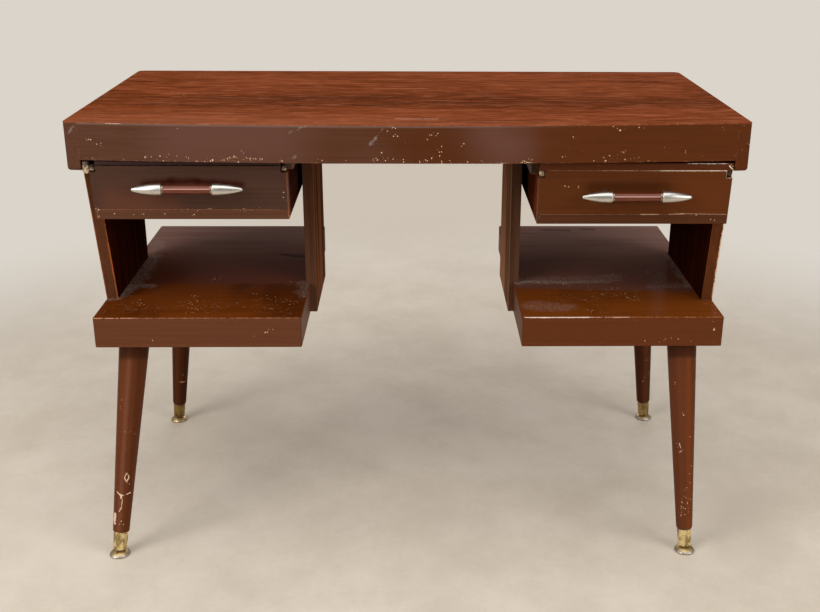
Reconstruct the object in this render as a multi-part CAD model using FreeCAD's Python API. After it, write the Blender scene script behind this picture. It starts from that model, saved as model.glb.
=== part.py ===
import FreeCAD, Part
import math
import os
from FreeCAD import Vector

# A small writing desk: a bowed top on two hung pedestals, each with a drawer, an open bay,
# a thick shelf and two splayed legs. Millimetres, +Z up, the front faces -Y.
# Origin: middle of the footprint, on the floor.

# Top
desk_height = 750.0
top_width = 1053.0
top_depth = 510.0
bow_rise = 25.0
sheet_thick = 1.5
board_thick = 18.0
apron_depth = 59.0
apron_thick = 15.0
back_apron_depth = 180.0
back_apron_thick = 18.0
end_rail_depth = 76.0
end_rail_thick = 21.0
end_rail_round = 5.0
front_corner_radius = 5.0
back_corner_radius = 12.0
panel_housing = 2.5
glue_block_leg = 20.0
glue_block_length = 60.0
glue_block_pitch = 105.0

# Pedestal panels
outer_panel_thick = 19.0
inner_panel_front = 153.0
inner_panel_back = 350.0
inner_panel_drop = 3.0
panel_edge_top = 14.5
panel_notch_drop = 17.0
panel_notch_back = 30.0

# What differs between the two pedestals: the inner panel's kneehole face and thickness, how
# deep it sits in the shelf's end, and the outer panel's depth and its edge at the shelf
pedestal_places = {
    "left": {"face": 164.5, "thick": 18.0, "housing": 7.0, "depth": 284.0, "foot": 74.0},
    "right": {"face": 172.5, "thick": 17.0, "housing": 8.5, "depth": 302.0, "foot": 61.0},
}

# Shelves
shelf_front = -18.0
shelf_back = 504.0
shelf_top = 437.5
shelf_thick = 51.0
skin_thick = 6.0
shelf_rail_width = 40.0
shelf_corner_round = 3.0
shelf_edge_round = 1.5
leg_block_width = 84.0

# Legs, ferrules and glides
leg_top_diameter = 49.6
leg_foot_diameter = 25.2
ferrule_length = 34.0
ferrule_top_diameter = 24.8
ferrule_foot_diameter = 22.6
ferrule_wall = 0.8
ferrule_lift = 6.0
glide_diameter = 34.4
glide_rim_height = 2.4
glide_crown = 9.0
glide_flat = 5.2
glide_bevel = 1.6
pivot_height = 6.5
ball_radius = 4.2
stem_diameter = 5.0
stem_length = 46.0
stem_clearance = 0.1
socket_clearance = 0.3
socket_lip = 0.65
bolt_diameter = 8.0
bolt_length = 72.0
bolt_in_block = 34.0
bolt_clearance = 0.1
foot_front = -19.0
foot_back = 503.0
leg_inset_y = 45.0

# How far in from the shelf's end each leg is set, and how far it splays sideways
leg_places = {
    "front_left": {"side": "left", "row": "front", "inset": 53.0, "splay": 49.0},
    "back_left": {"side": "left", "row": "back", "inset": 49.0, "splay": 45.0},
    "front_right": {"side": "right", "row": "front", "inset": 55.5, "splay": 26.5},
    "back_right": {"side": "right", "row": "back", "inset": 38.0, "splay": 39.0},
}

# Drawers
drawer_front_thick = 15.0
drawer_rake = 6.0
drawer_face = 0.5
drawer_headroom = 2.0
drawer_body_height = 88.5
drawer_length = 335.0
bottom_thick = 16.0
side_thick = 16.0
back_thick = 12.0
back_drop = 18.0
side_clearance = 1.0
groove_depth = 9.5
groove_height = 11.5
front_notch_width = 9.5
runner_clearance = 0.3
runner_reach = 8.9
runner_height = 9.0
runner_front = 18.0
runner_gap = 0.6
runner_screw_diameter = 3.0
runner_screw_length = 32.0
runner_screw_head = 5.6
runner_screw_head_height = 2.0
runner_screw_end_share = 0.15

# The left drawer sits closer to the kneehole; the right one hangs lower under a fuller strip.
# The gap is the space between the drawer's front and the inner panel's plane.
drawer_places = {
    "left": {"inset": 14.0, "gap": 8.0, "strip": 7.0, "drop": 0.0, "handle_rise": 55.0,
             "strip_covers_notch": False},
    "right": {"inset": 3.5, "gap": 11.5, "strip": 12.0, "drop": 8.0, "handle_rise": 51.0,
              "strip_covers_notch": True},
}

# Drawer handles
handle_stand_off = 22.0
handle_rod_diameter = 13.7
handle_rod_length = 72.0
bullet_length = 47.0
bullet_diameter = 18.4
bullet_edge = 1.6
bullet_waist_share = 0.52
bullet_waist_radius_share = 0.84
bullet_tip_length = 2.6
bullet_tip_radius_share = 0.34
bullet_tip_flat = 0.6
collar_length = 2.5
collar_diameter = 14.6
post_diameter = 10.0
post_inset = 8.0
handle_screw_diameter = 4.0
handle_screw_head = 8.0
handle_screw_head_height = 2.6
handle_screw_depth = 12.0
screw_clearance = 0.15

overrun = 5.0

# Worked out from the sizes above
footprint_middle = (foot_front + foot_back) / 2
half_width = top_width / 2
board_top = desk_height - sheet_thick
board_under = board_top - board_thick
apron_under = desk_height - apron_depth
back_apron_under = desk_height - back_apron_depth
rail_under = desk_height - end_rail_depth
rail_inner = half_width - end_rail_thick
panel_outer = rail_inner + panel_housing
panel_inner = panel_outer - outer_panel_thick
shelf_under = shelf_top - shelf_thick
side_outer = panel_inner - side_clearance
rake = math.tan(math.radians(drawer_rake))

X_AXIS = Vector(1, 0, 0)
Y_AXIS = Vector(0, 1, 0)
Z_AXIS = Vector(0, 0, 1)
ORIGIN = Vector(0, 0, 0)


def save(name, shapes, side="right"):
    """Writes one node; the left pedestal is the right one mirrored."""
    parts = shapes if isinstance(shapes, list) else [shapes]
    moved = []
    for shape in parts:
        if side == "left":
            shape = shape.mirror(ORIGIN, X_AXIS)
        shape = shape.copy()
        shape.translate(Vector(0, -footprint_middle, 0))
        moved.append(shape)
    whole = moved[0] if len(moved) == 1 else Part.makeCompound(moved)
    whole.exportStep(os.path.join("parts", name + ".step"))
    print(name, len(whole.Solids), "solids", round(whole.Volume / 1000, 1), "cm3")


def block(x_low, x_high, y_low, y_high, z_low, z_high):
    size = (x_high - x_low, y_high - y_low, z_high - z_low)
    return Part.makeBox(*size, Vector(x_low, y_low, z_low))


def side_prism(outline, x_low, x_high):
    """A flat piece cut to an outline of (y, z) corners, standing across X."""
    corners = [Vector(x_low, y, z) for y, z in outline]
    face = Part.Face(Part.makePolygon(corners + corners[:1]))
    return face.extrude(Vector(x_high - x_low, 0, 0))


def turned(edges, axis=Z_AXIS):
    """A turned piece from the half profile, which starts and ends on the axis."""
    wire = Part.Wire(edges)
    closing = Part.makeLine(wire.OrderedVertexes[-1].Point, wire.OrderedVertexes[0].Point)
    face = Part.Face(Part.Wire(edges + [closing]))
    return face.revolve(ORIGIN, axis, 360)


def uprights(solid):
    return [e for e in solid.Edges if abs(e.tangentAt(e.FirstParameter).z) > 0.9]


def cylinder(diameter, length, base, direction):
    return Part.makeCylinder(diameter / 2, length, base, direction)


def countersunk_screw(diameter, length, head, head_height, tip, direction):
    """A screw whose head ends at its base; the tip point is where the shank ends."""
    along = Vector(direction).normalize()
    base = tip - along * length
    shank = cylinder(diameter, length, base, along)
    cone = Part.makeCone(head / 2, diameter / 2, head_height, base, along)
    return shank.fuse(cone).removeSplitter()


# Top

def top_plan(z_low, z_high):
    """The plan of the top, with its bowed front and rounded corners."""
    left, right = Vector(-half_width, 0, z_low), Vector(half_width, 0, z_low)
    back_right = Vector(half_width, top_depth, z_low)
    back_left = Vector(-half_width, top_depth, z_low)
    front = Part.Arc(left, Vector(0, -bow_rise, z_low), right).toShape()
    sides = [Part.makeLine(right, back_right), Part.makeLine(back_right, back_left),
             Part.makeLine(back_left, left)]
    solid = Part.Face(Part.Wire([front] + sides)).extrude(Vector(0, 0, z_high - z_low))
    front_corners = [e for e in uprights(solid) if e.CenterOfMass.y < top_depth / 2]
    solid = solid.makeFillet(front_corner_radius, front_corners)
    back_corners = [e for e in uprights(solid)
                    if e.CenterOfMass.y > top_depth - end_rail_thick / 2]
    return solid.makeFillet(back_corner_radius, back_corners)


def end_rail(panel):
    plan = top_plan(rail_under, board_top)
    rail = plan.common(block(rail_inner, half_width + overrun, -bow_rise - overrun,
                             top_depth + overrun, rail_under - overrun, board_top))
    low = [e for e in rail.Edges if e.BoundBox.ZMax < rail_under + end_rail_round / 2
           and e.CenterOfMass.x > half_width - end_rail_round]
    return rail.makeFillet(end_rail_round, low).cut(panel)


def front_apron():
    plan = top_plan(apron_under, board_top)
    return plan.common(block(-rail_inner, rail_inner, -bow_rise - overrun, apron_thick,
                             apron_under, board_top))


def glue_blocks():
    """Triangular blocks under the board, behind the front apron and before the back one."""
    blocks = []
    back_face = top_depth - back_apron_thick
    for y, inward in ((apron_thick, glue_block_leg), (back_face, -glue_block_leg)):
        outline = [(y, board_under), (y + inward, board_under), (y, board_under - glue_block_leg)]
        for step in (-1, 0, 1):
            middle = step * glue_block_pitch
            blocks.append(side_prism(outline, middle - glue_block_length / 2,
                                     middle + glue_block_length / 2))
    return blocks


def build_top(panels):
    save("top_sheet", top_plan(board_top, desk_height))
    save("top_board", block(-rail_inner, rail_inner, apron_thick,
                            top_depth - back_apron_thick, board_under, board_top))
    save("front_apron", front_apron())
    save("back_apron", block(-rail_inner, rail_inner, top_depth - back_apron_thick, top_depth,
                             back_apron_under, board_top))
    for side, panel in panels.items():
        save(side + "_end_rail", end_rail(panel), side)
    save("glue_blocks", glue_blocks())


# Pedestals

class Pedestal:
    """The places of one pedestal's panels and shelf, in the right pedestal's coordinates."""

    def __init__(self, place):
        self.face = place["face"]
        self.divider_outer = self.face + place["thick"]
        self.shelf_inner = self.divider_outer - place["housing"]
        self.back = panel_edge_top + place["depth"]
        self.foot = place["foot"]

    def edge(self, z):
        """How far back the raked front edge of the outer panel lies at a height."""
        share = (apron_under - z) / (apron_under - shelf_top)
        return panel_edge_top + share * (self.foot - panel_edge_top)

    def outer_panel(self):
        notch_z = apron_under - panel_notch_drop
        outline = [(self.edge(shelf_top), shelf_top), (self.edge(notch_z), notch_z),
                   (panel_notch_back, notch_z), (panel_notch_back, board_under),
                   (self.back, board_under), (self.back, shelf_top)]
        return side_prism(outline, panel_inner, panel_outer)

    def inner_panel(self):
        return block(self.face, self.divider_outer, inner_panel_front, inner_panel_back,
                     shelf_under - inner_panel_drop, board_under)

    def shelf_slab(self, z_low, z_high):
        return block(self.shelf_inner, panel_outer, shelf_front, shelf_back, z_low, z_high)


def shelf_body(pedestal):
    """The outside of the whole shelf, with eased edges; its layers are cut from it."""
    body = pedestal.shelf_slab(shelf_under, shelf_top)
    body = body.makeFillet(shelf_corner_round, uprights(body))
    level = [e for e in body.Edges if e.BoundBox.ZLength < shelf_edge_round]
    return body.makeFillet(shelf_edge_round, level)


def shelf_rails(core, end, z_low, z_high):
    """The frame inside the shelf: full-length front and back rails, and two between them."""
    wide = shelf_rail_width
    front = block(end, panel_outer, shelf_front, shelf_front + wide, z_low, z_high)
    back = block(end, panel_outer, shelf_back - wide, shelf_back, z_low, z_high)
    inner = block(end, end + wide, shelf_front + wide, shelf_back - wide, z_low, z_high)
    outer = block(panel_outer - wide, panel_outer, shelf_front + wide, shelf_back - wide,
                  z_low, z_high)
    return [core.common(rail) for rail in (front, back, inner, outer)]


def leg_blocks(z_low, z_high):
    """Blocks in the outer corners of the shelf's frame, which take the leg bolts."""
    outer = panel_outer - shelf_rail_width
    front = shelf_front + shelf_rail_width
    back = shelf_back - shelf_rail_width
    return [block(outer - leg_block_width, outer, front, front + leg_block_width,
                  z_low, z_high),
            block(outer - leg_block_width, outer, back - leg_block_width, back,
                  z_low, z_high)]


def drill(shapes, bolts):
    drilled = []
    for shape in shapes:
        for bolt in bolts:
            shape = shape.cut(bolt)
        drilled.append(shape)
    return drilled


def build_pedestal(side, pedestal, panel, bolt_holes):
    divider = pedestal.inner_panel()
    core_low, core_high = shelf_under + skin_thick, shelf_top - skin_thick
    save(side + "_outer_panel", panel, side)
    save(side + "_inner_panel", divider, side)
    shelf = shelf_body(pedestal).cut(divider)
    top_skin = shelf.common(pedestal.shelf_slab(core_high, shelf_top))
    save(side + "_shelf_top_skin", top_skin, side)
    low_skin = shelf.common(pedestal.shelf_slab(shelf_under, core_low))
    save(side + "_shelf_bottom_skin", drill([low_skin], bolt_holes), side)
    rails = shelf_rails(shelf, pedestal.shelf_inner, core_low, core_high)
    save(side + "_shelf_frame", drill(rails, bolt_holes), side)
    save(side + "_shelf_leg_blocks", drill(leg_blocks(core_low, core_high), bolt_holes), side)


# Legs

def leg_axis(place):
    """The pivot of the glide, the middle of the leg's top, and the way from one to the other."""
    front = place["row"] == "front"
    foot_y = foot_front if front else foot_back
    top_y = foot_y + leg_inset_y if front else foot_y - leg_inset_y
    top_x = panel_outer - place["inset"]
    pivot = Vector(top_x + place["splay"], foot_y, pivot_height)
    top = Vector(top_x, top_y, shelf_under)
    return pivot, top, (top - pivot).normalize()


def along_leg(shape, pivot, way):
    turn = FreeCAD.Rotation(Z_AXIS, way)
    placed = shape.copy()
    placed.Placement = FreeCAD.Placement(pivot, turn)
    return placed


def leg_radius(height, length):
    foot, top = leg_foot_diameter / 2, leg_top_diameter / 2
    return foot + (top - foot) * height / length


def leg(pivot, top, way):
    """A tapered turned leg, its foot reduced to fit the ferrule, its top cut level."""
    length = (top - pivot).Length
    shoulder = ferrule_lift + ferrule_length
    spare = leg_top_diameter
    shaft = Part.makeCone(leg_radius(shoulder, length), leg_radius(length + spare, length),
                          length + spare - shoulder, Vector(0, 0, shoulder))
    tenon = Part.makeCone(ferrule_foot_diameter / 2 - ferrule_wall,
                          ferrule_top_diameter / 2 - ferrule_wall,
                          ferrule_length - ferrule_wall,
                          Vector(0, 0, ferrule_lift + ferrule_wall))
    hole = cylinder(stem_diameter + 2 * stem_clearance, stem_length + stem_clearance,
                    ORIGIN, Z_AXIS)
    body = along_leg(shaft.fuse(tenon).cut(hole), pivot, way)
    reach = leg_top_diameter * 2
    above = block(top.x - reach, top.x + reach, top.y - reach, top.y + reach,
                  shelf_under, shelf_under + reach)
    return body.cut(above).removeSplitter()


def ferrule(pivot, way):
    outer = Part.makeCone(ferrule_foot_diameter / 2, ferrule_top_diameter / 2,
                          ferrule_length, Vector(0, 0, ferrule_lift))
    bore = Part.makeCone(ferrule_foot_diameter / 2 - ferrule_wall,
                         ferrule_top_diameter / 2 - ferrule_wall,
                         ferrule_length - ferrule_wall,
                         Vector(0, 0, ferrule_lift + ferrule_wall))
    hole = cylinder(stem_diameter + 2 * stem_clearance, ferrule_lift + ferrule_length,
                    ORIGIN, Z_AXIS)
    return along_leg(outer.cut(bore).cut(hole), pivot, way)


def stem(pivot, way):
    """A pin in the leg's end whose ball lets the glide tilt."""
    ball = Part.makeSphere(ball_radius)
    shank = cylinder(stem_diameter, stem_length, ORIGIN, Z_AXIS)
    return along_leg(ball.fuse(shank), pivot, way)


def leg_bolt(top, way, clearance=0.0):
    base = top - way * (bolt_length - bolt_in_block + clearance)
    return cylinder(bolt_diameter + 2 * clearance, bolt_length + 2 * clearance, base, way)


def glide(pivot):
    """A domed disc that lies flat on the floor; its lip keeps the ball of the stem in."""
    rim = glide_diameter / 2
    run, rise = rim - glide_flat, glide_crown - glide_rim_height
    dome_radius = (run ** 2 + rise ** 2) / (2 * rise)
    shoulder = Vector(rim, 0, glide_rim_height)
    crown = Vector(glide_flat, 0, glide_crown)
    drop = dome_radius - math.sqrt(dome_radius ** 2 - (run / 2) ** 2)
    swell = Vector(glide_flat + run / 2, 0, glide_crown - drop)
    edges = [Part.makeLine(ORIGIN, Vector(rim - glide_bevel, 0, 0)),
             Part.makeLine(Vector(rim - glide_bevel, 0, 0), Vector(rim, 0, glide_bevel)),
             Part.makeLine(Vector(rim, 0, glide_bevel), shoulder),
             Part.Arc(shoulder, swell, crown).toShape(),
             Part.makeLine(crown, Vector(0, 0, glide_crown))]
    disc = turned(edges)
    socket_radius = ball_radius + socket_clearance
    seat = Vector(0, 0, pivot_height - socket_radius)
    socket = cylinder(2 * socket_radius, glide_crown - socket_lip - seat.z, seat, Z_AXIS)
    mouth = cylinder(2 * (ball_radius - stem_clearance), glide_crown, seat, Z_AXIS)
    disc = disc.cut(socket).cut(mouth)
    disc.translate(Vector(pivot.x, pivot.y, 0))
    return disc


def build_legs():
    """Saves the legs and what is on them; returns the bolt holes for each pedestal."""
    holes = {"left": [], "right": []}
    bolts, stems = [], []
    for name, place in leg_places.items():
        side = place["side"]
        pivot, top, way = leg_axis(place)
        hole = leg_bolt(top, way, bolt_clearance)
        holes[side].append(hole)
        save(name + "_leg", leg(pivot, top, way).cut(hole), side)
        save(name + "_ferrule", ferrule(pivot, way), side)
        save(name + "_glide", glide(pivot), side)
        flip = side == "left"
        for group, piece in ((bolts, leg_bolt(top, way)), (stems, stem(pivot, way))):
            group.append(piece.mirror(ORIGIN, X_AXIS) if flip else piece)
    save("leg_bolts", bolts)
    save("glide_stems", stems)
    return holes


# Drawers

class DrawerPlace:
    """The heights and ends of one drawer, in the right pedestal's coordinates."""

    def __init__(self, place, divider_outer):
        self.strip = place["strip"]
        self.covers = place["strip_covers_notch"]
        self.outer = panel_outer - place["inset"]
        self.inner = divider_outer + place["gap"]
        self.body_top = (apron_under - drawer_headroom
                         - drawer_places["left"]["strip"] - place["drop"])
        self.top = self.body_top + self.strip
        self.bottom = self.body_top - drawer_body_height
        self.floor = self.bottom + bottom_thick
        self.groove_low = self.body_top - groove_height
        self.handle_z = self.bottom + place["handle_rise"]
        self.middle = (self.outer + self.inner) / 2

    def face(self, z):
        """How far back the raked face lies at a height."""
        return drawer_face + (apron_under - drawer_headroom - z) * rake

    def slice(self, x_low, x_high, z_low, z_high, thick=drawer_front_thick):
        """A level slice of the raked front."""
        outline = [(self.face(z_low), z_low), (self.face(z_low) + thick, z_low),
                   (self.face(z_high) + thick, z_high), (self.face(z_high), z_high)]
        return side_prism(outline, x_low, x_high)

    def board(self, x_low, x_high, z_low, z_high):
        """A board that runs back from the front."""
        back_low = self.face(z_low) + drawer_front_thick
        back_high = self.face(z_high) + drawer_front_thick
        outline = [(back_low, z_low), (drawer_length, z_low), (drawer_length, z_high),
                   (back_high, z_high)]
        return side_prism(outline, x_low, x_high)


def drawer_notches(drawer):
    """The grooves of the sides, run out through both ends of the front."""
    reach = drawer_length + overrun
    return [block(low, low + front_notch_width + overrun, -reach, reach,
                  drawer.groove_low, drawer.body_top)
            for low in (drawer.outer - front_notch_width,
                        drawer.inner - overrun)]


def post_places(drawer):
    reach = handle_rod_length / 2 + collar_length + post_inset
    return [drawer.middle - reach, drawer.middle + reach]


def handle_axis_y(drawer):
    return drawer.face(drawer.handle_z) - handle_stand_off


def handle_screw(drawer, x, clearance=0.0):
    """A round-headed screw from inside the drawer into a handle post."""
    seat = drawer.face(drawer.handle_z) + drawer_front_thick
    end = drawer.face(drawer.handle_z) - handle_screw_depth
    seat_gap = (handle_screw_head / 2 + screw_clearance) * rake
    shank = cylinder(handle_screw_diameter + 2 * clearance, seat + seat_gap - end,
                     Vector(x, seat + seat_gap, drawer.handle_z), -Y_AXIS)
    head = cylinder(handle_screw_head, handle_screw_head_height,
                    Vector(x, seat + seat_gap, drawer.handle_z), Y_AXIS)
    return shank if clearance else shank.fuse(head).removeSplitter()


def build_drawer(side, drawer):
    notches = drawer_notches(drawer)
    holes = [handle_screw(drawer, x, screw_clearance) for x in post_places(drawer)]
    front = drawer.slice(drawer.inner, drawer.outer, drawer.floor, drawer.body_top)
    save(side + "_drawer_front", drill([front], notches + holes), side)
    step_in = 0.0 if drawer.covers else front_notch_width
    save(side + "_drawer_top_strip",
         drawer.slice(drawer.inner + step_in, drawer.outer - step_in,
                      drawer.body_top, drawer.top), side)
    save(side + "_drawer_bottom_strip",
         drawer.slice(drawer.inner, drawer.outer, drawer.bottom, drawer.floor), side)
    save(side + "_drawer_bottom",
         drawer.board(drawer.inner, side_outer, drawer.bottom, drawer.floor), side)
    outer_groove = block(side_outer - groove_depth, side_outer + overrun, 0,
                         drawer_length + overrun, drawer.groove_low, drawer.body_top)
    outer_side = drawer.board(side_outer - side_thick, side_outer, drawer.floor, drawer.top)
    save(side + "_drawer_outer_side", outer_side.cut(outer_groove), side)
    inner_groove = block(drawer.inner - overrun, drawer.inner + groove_depth, 0,
                         drawer_length + overrun, drawer.groove_low, drawer.body_top)
    inner_side = drawer.board(drawer.inner, drawer.inner + side_thick, drawer.floor,
                              drawer.top)
    save(side + "_drawer_inner_side", inner_side.cut(inner_groove), side)
    save(side + "_drawer_back",
         block(drawer.inner + side_thick, side_outer - side_thick, drawer_length - back_thick,
               drawer_length, drawer.floor, drawer.top - back_drop), side)


def bullet_end(drawer, outward):
    """A bullet-shaped casting with its post; outward is 1 or -1 along X."""
    root, full = Vector(0, 0, 0), bullet_diameter / 2
    collar = collar_diameter / 2
    start = Vector(collar_length, 0, collar)
    lip = Vector(collar_length, 0, full - bullet_edge)
    bend = bullet_edge * (1 - math.sqrt(0.5))
    lip_mid = Vector(collar_length + bend, 0, full - bend)
    lip_end = Vector(collar_length + bullet_edge, 0, full)
    waist = Vector(collar_length + bullet_length * bullet_waist_share, 0,
                   full * bullet_waist_radius_share)
    neck = Vector(collar_length + bullet_length - bullet_tip_length, 0,
                  full * bullet_tip_radius_share)
    tip = Vector(collar_length + bullet_length, 0, bullet_tip_flat)
    round_share = bend / bullet_edge
    tip_mid = Vector(tip.x - bullet_tip_length * round_share, 0,
                     neck.z - (neck.z - tip.z) * round_share)
    edges = [Part.makeLine(root, Vector(0, 0, collar)),
             Part.makeLine(Vector(0, 0, collar), start),
             Part.makeLine(start, lip),
             Part.Arc(lip, lip_mid, lip_end).toShape(),
             Part.Arc(lip_end, waist, neck).toShape(),
             Part.Arc(neck, tip_mid, tip).toShape(),
             Part.makeLine(tip, Vector(tip.x, 0, 0))]
    bullet = turned(edges, X_AXIS)
    if outward < 0:
        bullet = bullet.mirror(ORIGIN, X_AXIS)
    axis_y = handle_axis_y(drawer)
    bullet.translate(Vector(drawer.middle + outward * handle_rod_length / 2, axis_y,
                            drawer.handle_z))
    post_x = drawer.middle + outward * (handle_rod_length / 2 + collar_length + post_inset)
    post = cylinder(post_diameter, handle_stand_off + drawer_front_thick,
                    Vector(post_x, axis_y, drawer.handle_z), Y_AXIS)
    wood = drawer.slice(drawer.inner, drawer.outer, drawer.bottom, drawer.top,
                        2 * drawer_front_thick + handle_stand_off)
    screw = handle_screw(drawer, post_x, screw_clearance)
    return bullet.fuse(post).cut(wood).cut(screw).removeSplitter()


def build_handle(side, drawer):
    axis = Vector(drawer.middle - handle_rod_length / 2, handle_axis_y(drawer),
                  drawer.handle_z)
    save(side + "_handle_rod",
         cylinder(handle_rod_diameter, handle_rod_length, axis, X_AXIS), side)
    save(side + "_handle_outer_end", bullet_end(drawer, 1), side)
    save(side + "_handle_inner_end", bullet_end(drawer, -1), side)
    screws = [handle_screw(drawer, x) for x in post_places(drawer)]
    save(side + "_handle_screws", screws, side)


# Runners

def runner_screw_places(length):
    inset = length * runner_screw_end_share
    return [runner_front + inset, runner_front + length / 2, runner_front + length - inset]


def build_runners(side, pedestal, drawer):
    """An outer strip on the panel and an inner one on a block beside the drawer."""
    high = drawer.body_top - runner_clearance
    low = high - runner_height
    outer_front = panel_notch_back
    outer = block(panel_inner - runner_reach - side_clearance, panel_inner, outer_front,
                  pedestal.back, low, high)
    face = drawer.inner - runner_gap
    hanger = block(pedestal.divider_outer, face, runner_front, inner_panel_back, low,
                   board_under)
    tongue = block(face, drawer.inner + runner_reach, runner_front, inner_panel_back,
                   low, high)
    inner = hanger.fuse(tongue).removeSplitter()
    screws = []
    middle_x = (pedestal.divider_outer + face) / 2
    for y in runner_screw_places(inner_panel_back - runner_front):
        tip = Vector(middle_x, y, low + runner_screw_length)
        screws.append(countersunk_screw(runner_screw_diameter, runner_screw_length,
                                        runner_screw_head, runner_screw_head_height,
                                        tip, Z_AXIS))
    inner = drill([inner], screws)
    save(side + "_outer_runner", outer, side)
    save(side + "_inner_runner", inner, side)
    if side == "left":
        screws = [screw.mirror(ORIGIN, X_AXIS) for screw in screws]
    return screws


def main():
    os.makedirs("parts", exist_ok=True)
    pedestals = {side: Pedestal(place) for side, place in pedestal_places.items()}
    panels = {side: pedestal.outer_panel() for side, pedestal in pedestals.items()}
    build_top(panels)
    holes = build_legs()
    screws = []
    for side, pedestal in pedestals.items():
        build_pedestal(side, pedestal, panels[side], holes[side])
        drawer = DrawerPlace(drawer_places[side], pedestal.divider_outer)
        build_drawer(side, drawer)
        build_handle(side, drawer)
        screws += build_runners(side, pedestal, drawer)
    save("runner_screws", screws)


main()
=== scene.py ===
import bmesh
import bpy
import math
from functools import reduce
from mathutils import Matrix, Vector, noise as noiseLibrary


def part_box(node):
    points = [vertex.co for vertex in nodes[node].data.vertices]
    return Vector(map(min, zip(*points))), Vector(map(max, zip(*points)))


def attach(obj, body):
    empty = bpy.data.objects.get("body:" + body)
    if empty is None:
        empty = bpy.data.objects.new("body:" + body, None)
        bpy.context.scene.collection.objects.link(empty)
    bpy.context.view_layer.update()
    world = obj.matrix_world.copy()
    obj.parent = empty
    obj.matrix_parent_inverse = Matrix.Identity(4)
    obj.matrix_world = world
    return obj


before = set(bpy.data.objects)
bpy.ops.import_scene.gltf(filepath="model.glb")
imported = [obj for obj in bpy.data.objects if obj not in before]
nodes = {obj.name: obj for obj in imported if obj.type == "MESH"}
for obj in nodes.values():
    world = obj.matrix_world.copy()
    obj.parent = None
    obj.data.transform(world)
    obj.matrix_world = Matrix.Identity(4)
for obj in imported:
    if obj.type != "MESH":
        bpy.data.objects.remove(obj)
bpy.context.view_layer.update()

# A worn mid-century writing desk: laminate top, brown paint, brass ferrules, bullet handles
print("frame loaded:", len(nodes), "nodes")


def tone(red, green, blue, share=1.0):
    # a screen colour, 0 to 255, times share, as the linear colour that the shaders want
    parts = []
    for level in (red, green, blue):
        level *= share / 255
        parts.append(level / 12.92 if level <= 0.04045 else ((level + 0.055) / 1.055) ** 2.4)
    return (*parts, 1.0)


def addObject(name, data):
    made = bpy.data.objects.new(name, data)
    bpy.context.scene.collection.objects.link(made)
    return made


# Shader maths
class Wire:
    # one output socket of a node tree; sums and products of wires add Math nodes
    def __init__(self, tree, socket=None):
        self.tree = tree
        self.socket = socket

    def node(self, kind, sockets=None, settings=None, out=0):
        family = "" if kind.startswith(("Geometry", "Function")) else "ShaderNode"
        made = self.tree.nodes.new(family + kind)
        for name, value in (settings or {}).items():
            if name == "stops":
                elements = made.color_ramp.elements
                elements[0].position, elements[0].color = value[0]
                elements[1].position, elements[1].color = value[-1]
                for position, colour in value[1:-1]:
                    elements.new(position).color = colour
            else:
                setattr(made, name, value)
        for name, value in (sockets or {}).items():
            if isinstance(value, Wire):
                self.tree.links.new(value.socket, made.inputs[name])
            else:
                made.inputs[name].default_value = value
        if isinstance(out, tuple):
            return [Wire(self.tree, made.outputs[name]) for name in out]
        return Wire(self.tree, made.outputs[out])

    def maths(self, operation, *values):
        return self.node("Math", dict(enumerate(values)), {"operation": operation})

    def __add__(self, other):
        return self.maths("ADD", self, other)

    def __sub__(self, other):
        return self.maths("SUBTRACT", self, other)

    def __rsub__(self, other):
        return self.maths("SUBTRACT", other, self)

    def __mul__(self, other):
        return self.maths("MULTIPLY", self, other)

    def __truediv__(self, other):
        return self.maths("DIVIDE", self, other)

    def __abs__(self):
        return self.maths("ABSOLUTE", self)

    __radd__ = __add__
    __rmul__ = __mul__


def rises(value, low, high):
    # 0 below low, 1 above high, smooth between; low above high turns it round
    return value.node("MapRange", {"Value": value, "From Min": low, "From Max": high},
                      {"interpolation_type": "SMOOTHSTEP"})


def either(one, other):
    return one.maths("MAXIMUM", one, other)


def strongest(shares):
    return reduce(either, shares)


def mixed(share, under, over):
    return share.node("Mix", {0: share, 6: under, 7: over}, {"data_type": "RGBA"}, out=2)


def layered(coloured, palette, layers):
    # each layer is the share that it covers and the name of its colour
    for share, name in layers:
        coloured = mixed(share, coloured, palette[name])
    return coloured


def evenly(amount):
    return amount if isinstance(amount, tuple) else (amount, amount, amount)


def noise(place, stretch, detail=3.0, roughness=0.55, shift=(0.0, 0.0, 0.0), out="Fac"):
    # stretch is how many features there are to a metre, one number or one for each axis
    scaled = place.node("Mapping", {"Vector": place, "Location": shift, "Scale": evenly(stretch)})
    return scaled.node("TexNoise", {"Vector": scaled, "Scale": 1.0, "Detail": detail,
                                    "Roughness": roughness}, out=out)


def axesOf(place):
    return place.node("SeparateXYZ", {"Vector": place}, out=("X", "Y", "Z"))


def vectorMaths(operation, first, *others):
    # these three operations give a number, all others a place or a direction
    out = "Value" if operation in ("LENGTH", "DISTANCE", "DOT_PRODUCT") else "Vector"
    return first.node("VectorMath", dict(enumerate((first, *others))), {"operation": operation}, out=out)


def facing(place, axis):
    # how far the surface looks along an axis, from -1 to 1
    return place.node("SeparateXYZ", {"Vector": place.node("NewGeometry", out="Normal")}, out=axis)


def bumped(height, strength, depth, **more):
    return height.node("Bump", {"Strength": strength, "Distance": depth, "Height": height, **more})


def eased(place, radius):
    # the way the surface would face if its edges were rounded
    return place.node("Bevel", {"Radius": radius}, {"samples": 4})


def edgesOf(place, radius):
    # 0 on flat faces, rising to 1 on every sharp edge
    alike = vectorMaths("DOT_PRODUCT", eased(place, radius), place.node("NewGeometry", out="Normal"))
    return rises(alike, 0.995, 0.85)


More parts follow.
